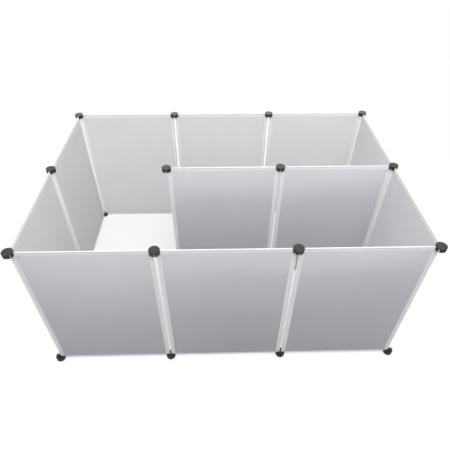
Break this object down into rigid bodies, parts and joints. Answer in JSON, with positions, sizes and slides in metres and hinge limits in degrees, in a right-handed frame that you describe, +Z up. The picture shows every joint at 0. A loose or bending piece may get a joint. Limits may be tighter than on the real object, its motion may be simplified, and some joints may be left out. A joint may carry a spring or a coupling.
{
  "type": "pet playpen",
  "caption": "Modular pet playpen of tall frosted panels joined by round black clip connectors, with a divider and a passage at one side.",
  "frame": {"origin": "on the floor under the middle of the pen", "axes": "+X along the long side, to the right seen from the front; +Y from the front wall to the back wall; +Z up"},
  "size_m": [1.5842, 1.0698, 0.7164],
  "materials": {
    "frosted_sheet": "frosted, translucent",
    "frame_wire": "satin, white coating",
    "connector": "fine matte texture"
  },
  "bodies": {
    "pen_base": {"bottom_connector_front_1": "connector", "bottom_connector_front_2": "connector", "bottom_connector_front_3": "connector", "bottom_connector_front_4": "connector", "bottom_connector_middle_1": "connector", "bottom_connector_middle_2": "connector", "bottom_connector_middle_3": "connector", "bottom_connector_middle_4": "connector", "bottom_connector_back_1": "connector", "bottom_connector_back_2": "connector", "bottom_connector_back_3": "connector", "bottom_connector_back_4": "connector", "front_sheet_1": "frosted_sheet", "front_wire_frame_1": "frame_wire", "front_sheet_3": "frosted_sheet", "front_wire_frame_3": "frame_wire", "back_sheet_2": "frosted_sheet", "back_wire_frame_2": "frame_wire", "left_sheet_2": "frosted_sheet", "left_wire_frame_2": "frame_wire", "right_sheet_2": "frosted_sheet", "right_wire_frame_2": "frame_wire", "divider_sheet_2": "frosted_sheet", "divider_wire_frame_2": "frame_wire"},
    "front_panel_2": {"front_sheet_2": "frosted_sheet", "front_wire_frame_2": "frame_wire"},
    "top_clip_front_2": {"top_connector_front_2": "connector"},
    "top_clip_front_3": {"top_connector_front_3": "connector"},
    "back_panel_1": {"back_sheet_1": "frosted_sheet", "back_wire_frame_1": "frame_wire"},
    "top_clip_back_1": {"top_connector_back_1": "connector"},
    "top_clip_back_2": {"top_connector_back_2": "connector"},
    "back_panel_3": {"back_sheet_3": "frosted_sheet", "back_wire_frame_3": "frame_wire"},
    "top_clip_back_3": {"top_connector_back_3": "connector"},
    "top_clip_back_4": {"top_connector_back_4": "connector"},
    "left_panel_1": {"left_sheet_1": "frosted_sheet", "left_wire_frame_1": "frame_wire"},
    "top_clip_front_1": {"top_connector_front_1": "connector"},
    "top_clip_middle_1": {"top_connector_middle_1": "connector"},
    "right_panel_1": {"right_sheet_1": "frosted_sheet", "right_wire_frame_1": "frame_wire"},
    "top_clip_front_4": {"top_connector_front_4": "connector"},
    "top_clip_middle_4": {"top_connector_middle_4": "connector"},
    "divider_panel_1": {"divider_sheet_1": "frosted_sheet", "divider_wire_frame_1": "frame_wire"},
    "top_clip_middle_2": {"top_connector_middle_2": "connector"},
    "top_clip_middle_3": {"top_connector_middle_3": "connector"}
  },
  "joints": [
    {"name": "front_panel_2_lift", "type": "slide", "parent": "pen_base", "child": "front_panel_2", "axis": [0, 0, 1], "range_m": [0, 0.72]},
    {"name": "top_clip_front_2_pull", "type": "slide", "parent": "front_panel_2", "child": "top_clip_front_2", "axis": [0, 0, 1], "range_m": [0, 0.03]},
    {"name": "top_clip_front_3_pull", "type": "slide", "parent": "front_panel_2", "child": "top_clip_front_3", "axis": [0, 0, 1], "range_m": [0, 0.03]},
    {"name": "back_panel_1_lift", "type": "slide", "parent": "pen_base", "child": "back_panel_1", "axis": [0, 0, 1], "range_m": [0, 0.72]},
    {"name": "top_clip_back_1_pull", "type": "slide", "parent": "back_panel_1", "child": "top_clip_back_1", "axis": [0, 0, 1], "range_m": [0, 0.03]},
    {"name": "top_clip_back_2_pull", "type": "slide", "parent": "back_panel_1", "child": "top_clip_back_2", "axis": [0, 0, 1], "range_m": [0, 0.03]},
    {"name": "back_panel_3_lift", "type": "slide", "parent": "pen_base", "child": "back_panel_3", "axis": [0, 0, 1], "range_m": [0, 0.72]},
    {"name": "top_clip_back_3_pull", "type": "slide", "parent": "back_panel_3", "child": "top_clip_back_3", "axis": [0, 0, 1], "range_m": [0, 0.03]},
    {"name": "top_clip_back_4_pull", "type": "slide", "parent": "back_panel_3", "child": "top_clip_back_4", "axis": [0, 0, 1], "range_m": [0, 0.03]},
    {"name": "left_panel_1_lift", "type": "slide", "parent": "pen_base", "child": "left_panel_1", "axis": [0, 0, 1], "range_m": [0, 0.72]},
    {"name": "top_clip_front_1_pull", "type": "slide", "parent": "left_panel_1", "child": "top_clip_front_1", "axis": [0, 0, 1], "range_m": [0, 0.03]},
    {"name": "top_clip_middle_1_pull", "type": "slide", "parent": "left_panel_1", "child": "top_clip_middle_1", "axis": [0, 0, 1], "range_m": [0, 0.03]},
    {"name": "right_panel_1_lift", "type": "slide", "parent": "pen_base", "child": "right_panel_1", "axis": [0, 0, 1], "range_m": [0, 0.72]},
    {"name": "top_clip_front_4_pull", "type": "slide", "parent": "right_panel_1", "child": "top_clip_front_4", "axis": [0, 0, 1], "range_m": [0, 0.03]},
    {"name": "top_clip_middle_4_pull", "type": "slide", "parent": "right_panel_1", "child": "top_clip_middle_4", "axis": [0, 0, 1], "range_m": [0, 0.03]},
    {"name": "divider_panel_1_lift", "type": "slide", "parent": "pen_base", "child": "divider_panel_1", "axis": [0, 0, 1], "range_m": [0, 0.72]},
    {"name": "top_clip_middle_2_pull", "type": "slide", "parent": "divider_panel_1", "child": "top_clip_middle_2", "axis": [0, 0, 1], "range_m": [0, 0.03]},
    {"name": "top_clip_middle_3_pull", "type": "slide", "parent": "divider_panel_1", "child": "top_clip_middle_3", "axis": [0, 0, 1], "range_m": [0, 0.03]}
  ]
}
